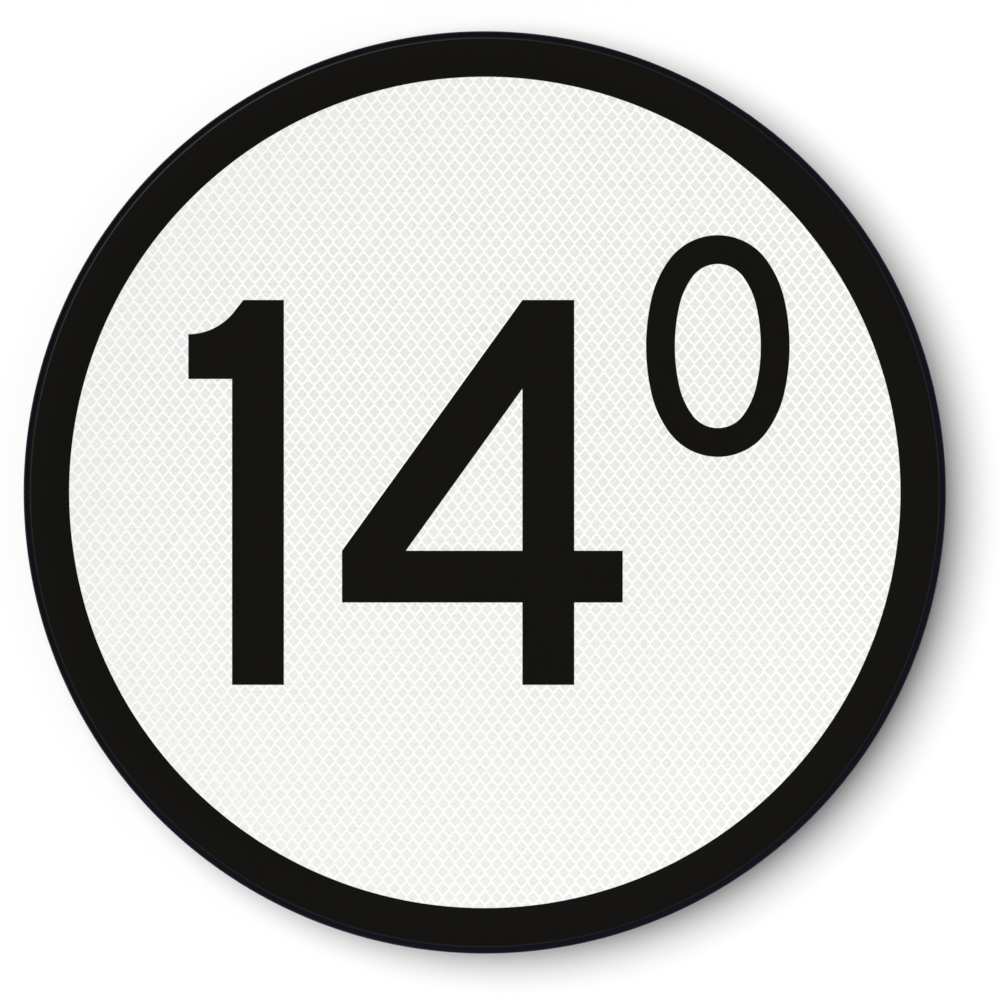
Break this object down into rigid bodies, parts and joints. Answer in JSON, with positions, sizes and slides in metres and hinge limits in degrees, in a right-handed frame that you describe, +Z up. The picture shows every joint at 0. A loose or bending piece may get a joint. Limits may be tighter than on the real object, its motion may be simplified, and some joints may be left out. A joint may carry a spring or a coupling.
{
  "type": "level crossing warning sign",
  "caption": "Round white reflective sign with a black border and black numerals, on a folded-edge aluminium pan with slotted mounting rails across its back.",
  "frame": {"origin": "on the axis of the round face, midway between the front of the films and the back of the rails", "axes": "+Z up as the legend reads, +Y out of the back, so the face looks along -Y; +X to the right of someone reading it"},
  "size_m": [0.5999, 0.0226, 0.6],
  "materials": {
    "bare_aluminium": "rolled sheet, mill finish",
    "rail_aluminium": "extruded, natural anodised",
    "white_sheeting": "prismatic retroreflective film with a diamond lattice",
    "black_film": "smooth black film"
  },
  "bodies": {
    "root": {"sign_pan": "bare_aluminium", "reflective_sheeting": "white_sheeting", "border_ring": "black_film", "numeral_one": "black_film", "numeral_four": "black_film", "superscript_zero": "black_film", "upper_rail": "rail_aluminium", "lower_rail": "rail_aluminium"}
  },
  "joints": []
}
